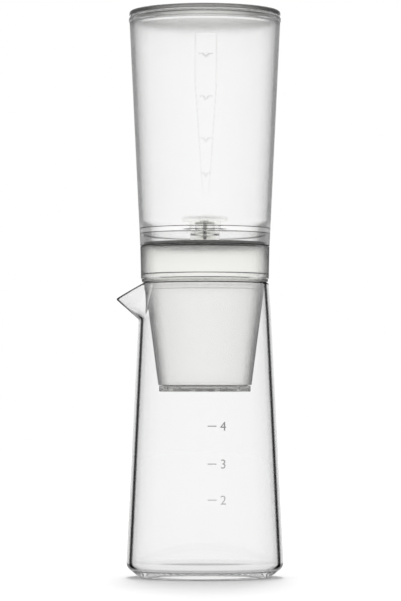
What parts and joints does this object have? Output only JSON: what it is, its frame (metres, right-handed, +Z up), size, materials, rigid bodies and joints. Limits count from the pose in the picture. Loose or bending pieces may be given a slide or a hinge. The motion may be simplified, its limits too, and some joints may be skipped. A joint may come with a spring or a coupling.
{
  "type": "cold brew coffee maker",
  "caption": "Free-standing slow-drip cold brew maker: lidded clear water tank with a drip regulator, frosted coffee basket, and a glass carafe with a pulled spout.",
  "frame": {"origin": "centre of the carafe's foot, on the surface it stands on", "axes": "+Z up along the axis of the carafe, basket and tank; -Y is the front with the cup scale; the spout points to -X"},
  "size_m": [0.0987, 0.0926, 0.335],
  "materials": {
    "borosilicate_glass": "clear blown heat-resistant glass, fire-polished",
    "clear_tank_resin": "clear moulded plastic with a slight haze",
    "frosted_polypropylene": "translucent moulded plastic, fine satin texture",
    "clear_polypropylene": "translucent moulded plastic, smooth",
    "smoked_resin": "smoky translucent moulded plastic, polished",
    "natural_acetal": "natural moulded plastic, fine satin",
    "silicone_clear": "milky silicone rubber",
    "silicone_grey": "dark grey silicone rubber",
    "woven_steel": "fine woven stainless wire",
    "pressed_steel": "pressed stainless steel, satin",
    "perforated_steel": "perforated stainless sheet, satin"
  },
  "bodies": {
    "carafe": {"glass_carafe": "borosilicate_glass"},
    "basket": {"coffee_basket": "frosted_polypropylene", "carafe_gasket": "silicone_clear", "basket_bottom_cap": "clear_polypropylene", "filter_mesh": "woven_steel", "mesh_rim": "pressed_steel", "mesh_gasket": "silicone_clear", "plate_seal": "silicone_grey"},
    "plate": {"shower_plate": "perforated_steel"},
    "tank": {"water_tank": "clear_tank_resin", "valve_housing": "natural_acetal", "housing_gasket": "silicone_clear", "lock_nut": "natural_acetal", "drip_tip": "natural_acetal", "stem_o_ring": "silicone_clear", "knob_retaining_clip": "pressed_steel"},
    "needle": {"needle_stem": "pressed_steel"},
    "knob": {"regulator_knob": "natural_acetal"},
    "lid": {"lid": "smoked_resin", "lid_gasket": "silicone_clear"}
  },
  "joints": [
    {"name": "basket_lift", "type": "slide", "parent": "carafe", "child": "basket", "axis": [0, 0, 1], "range_m": [0, 0.08]},
    {"name": "plate_lift", "type": "slide", "parent": "basket", "child": "plate", "axis": [0, 0, 1], "range_m": [0, 0.03]},
    {"name": "tank_lift", "type": "slide", "parent": "plate", "child": "tank", "axis": [0, 0, 1], "range_m": [0, 0.04]},
    {"name": "lid_lift", "type": "slide", "parent": "tank", "child": "lid", "axis": [0, 0, 1], "range_m": [0, 0.04]},
    {"name": "knob_turn", "type": "hinge", "parent": "tank", "child": "knob", "pos_m": [0, 0, 0.2104], "axis": [0, 0, 1], "range_deg": [0, 270]},
    {"name": "needle_rise", "type": "slide", "parent": "tank", "child": "needle", "axis": [0, 0, 1], "range_m": [0, 0.0012]}
  ],
  "couplings": [
    {"joint": "needle_rise", "follows": "knob_turn", "m_per_rad": 0.00025465}
  ]
}
